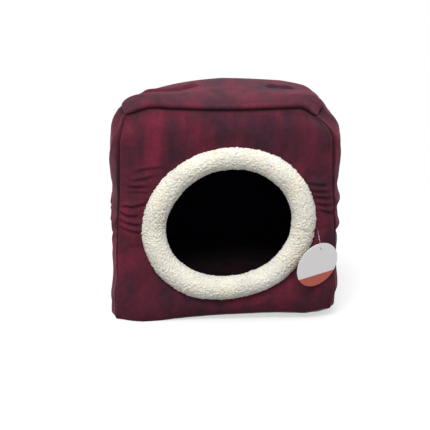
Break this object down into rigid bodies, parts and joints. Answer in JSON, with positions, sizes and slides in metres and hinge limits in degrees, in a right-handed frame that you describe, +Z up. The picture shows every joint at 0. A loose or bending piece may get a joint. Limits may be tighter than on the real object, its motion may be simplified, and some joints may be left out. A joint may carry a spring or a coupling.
{
  "type": "cat bed",
  "caption": "Soft padded cube house for a cat, with an oval fleece-rolled entrance, a loose floor cushion and a hang tag.",
  "frame": {"origin": "on the floor, in the middle of the space that the house takes up without its tag", "axes": "+Z up, the entrance faces -Y, +X to the right of someone who faces the entrance"},
  "size_m": [0.4044, 0.4509, 0.3922],
  "materials": {
    "burgundy_suede": "brushed suede-look polyester, mottled burgundy",
    "dark_lining": "short dark plush",
    "foam": "open-cell foam, hidden inside the covers",
    "cream_fleece": "curly sherpa fleece",
    "grey_underside": "grey non-slip base cloth",
    "tag_card": "coated card, white above and orange-red below, without print",
    "clear_nylon": "clear nylon filament"
  },
  "bodies": {
    "house": {"front_cover": "burgundy_suede", "front_foam": "foam", "front_lining": "dark_lining", "back_cover": "burgundy_suede", "back_foam": "foam", "back_lining": "dark_lining", "left_cover": "burgundy_suede", "left_foam": "foam", "left_lining": "dark_lining", "right_cover": "burgundy_suede", "right_foam": "foam", "right_lining": "dark_lining", "roof_cover": "burgundy_suede", "roof_foam": "foam", "roof_lining": "dark_lining", "base_cover": "grey_underside", "base_foam": "foam", "base_lining": "dark_lining", "entrance_sleeve": "cream_fleece", "entrance_core": "foam"},
    "cushion": {"cushion_top": "burgundy_suede", "cushion_foot": "burgundy_suede", "cushion_filling": "foam"},
    "tag_fastener": {"tag_fastener": "clear_nylon"},
    "tag_card": {"tag_card": "tag_card"}
  },
  "joints": [
    {"name": "cushion_lift", "type": "slide", "parent": "house", "child": "cushion", "axis": [0, 0, 1], "range_m": [0, 0.125]},
    {"name": "tag_lift", "type": "hinge", "parent": "house", "child": "tag_fastener", "pos_m": [0.15394, -0.19886, 0.15876], "axis": [-0.9984, -0.0558, 0], "range_deg": [0, 75]},
    {"name": "tag_swing", "type": "hinge", "parent": "tag_fastener", "child": "tag_card", "pos_m": [0.15551, -0.22682, 0.13727], "axis": [0.483, -0.8365, -0.2588], "range_deg": [-45, 45]}
  ]
}
